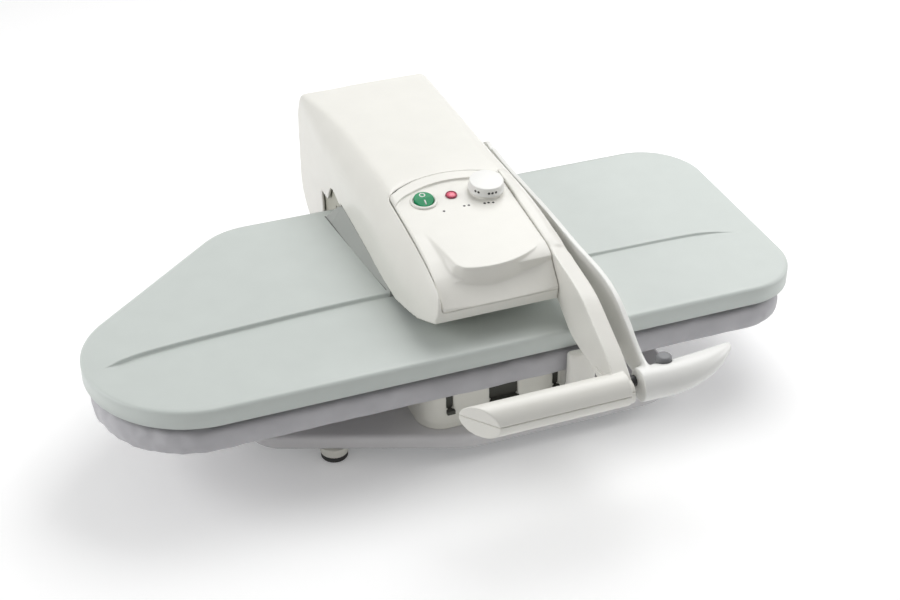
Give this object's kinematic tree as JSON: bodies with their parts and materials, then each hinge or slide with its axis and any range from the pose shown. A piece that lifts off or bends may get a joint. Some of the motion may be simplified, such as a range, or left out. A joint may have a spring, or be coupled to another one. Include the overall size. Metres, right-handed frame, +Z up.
{
  "type": "steam ironing press",
  "caption": "Table-top steam ironing press: padded board on a pedestal, hinged heated plate on a housing arm, two-lever handle, dial, lamp and rocker switch.",
  "frame": {"origin": "on the ground below the middle of the whole press's box, press closed", "axes": "+X along the board towards its round end, +Y to the rear, where the hinge is, +Z up"},
  "size_m": [0.664, 0.5089, 0.2033],
  "materials": {
    "ivory_plastic": "satin moulded plastic",
    "white_plastic": "satin moulded plastic",
    "cream_plastic": "matt moulded plastic",
    "base_plastic": "matt moulded plastic",
    "green_grey_plastic": "fine matt moulded plastic",
    "grey_plastic": "matt moulded plastic",
    "dark_plastic": "matt moulded plastic",
    "switch_green": "gloss moulded plastic",
    "lamp_red": "translucent gloss lens",
    "board_cloth": "plain woven cotton",
    "foam": "open foam or felt",
    "rubber": "matt",
    "silicone": "smooth",
    "zinc_steel": "zinc plated sheet",
    "bright_steel": "turned",
    "bronze": "sintered",
    "cast_aluminium": "cast, machined face",
    "circuit_board": "glass fibre board",
    "tank_plastic": "translucent moulded plastic"
  },
  "bodies": {
    "base": {"base_tray": "base_plastic", "base_plate": "zinc_steel", "foot_posts": "cream_plastic", "foot_pads": "rubber", "pedestal": "cream_plastic", "board_pan": "zinc_steel", "foam_pad": "foam", "board_cover": "board_cloth", "column_frame": "zinc_steel", "column_cover": "cream_plastic", "cord_gland": "dark_plastic", "hinge_shaft": "bright_steel", "hinge_clips": "bright_steel", "balance_spring": "bright_steel", "lock_post": "ivory_plastic"},
    "arm": {"plate_cover": "green_grey_plastic", "heating_plate": "cast_aluminium", "heating_element": "bright_steel", "insulation_mat": "foam", "plate_posts": "zinc_steel", "arm_frame": "zinc_steel", "hinge_bushes": "bronze", "arm_housing": "ivory_plastic", "fascia": "ivory_plastic", "switch_housing": "ivory_plastic", "lamp_lens": "lamp_red", "thermostat": "dark_plastic", "control_board": "circuit_board", "water_tank": "tank_plastic", "steam_pump": "dark_plastic", "water_hoses": "silicone", "lever_shaft": "bright_steel"},
    "handle": {"inner_lever": "ivory_plastic", "left_grip_cover": "ivory_plastic", "outer_lever": "white_plastic", "right_grip": "white_plastic", "lever_spacer": "dark_plastic"},
    "steam_button": {"steam_button": "grey_plastic"},
    "knob": {"temperature_knob": "white_plastic", "knob_spindle": "bright_steel"},
    "switch": {"power_switch": "switch_green"}
  },
  "joints": [
    {"name": "arm_hinge", "type": "hinge", "parent": "base", "child": "arm", "pos_m": [0.027, 0.214, 0.095], "axis": [-1, 0, 0], "range_deg": [0, 40]},
    {"name": "handle_hinge", "type": "hinge", "parent": "arm", "child": "handle", "pos_m": [0.092, 0.104, 0.165], "axis": [-1, 0, 0], "range_deg": [0, 12]},
    {"name": "steam_button_slide", "type": "slide", "parent": "handle", "child": "steam_button", "axis": [0, 0, -1], "range_m": [0, 0.003], "stiffness_N_per_m": 400, "springref_m": -0.002},
    {"name": "knob_turn", "type": "hinge", "parent": "arm", "child": "knob", "pos_m": [0.061, -0.0025, 0.18991], "axis": [0, -0.0958, 0.9954], "range_deg": [-120, 120]},
    {"name": "switch_rock", "type": "hinge", "parent": "arm", "child": "switch", "pos_m": [-0.0003, -0.00151, 0.188], "axis": [-1, 0, 0], "range_deg": [0, 8]}
  ]
}
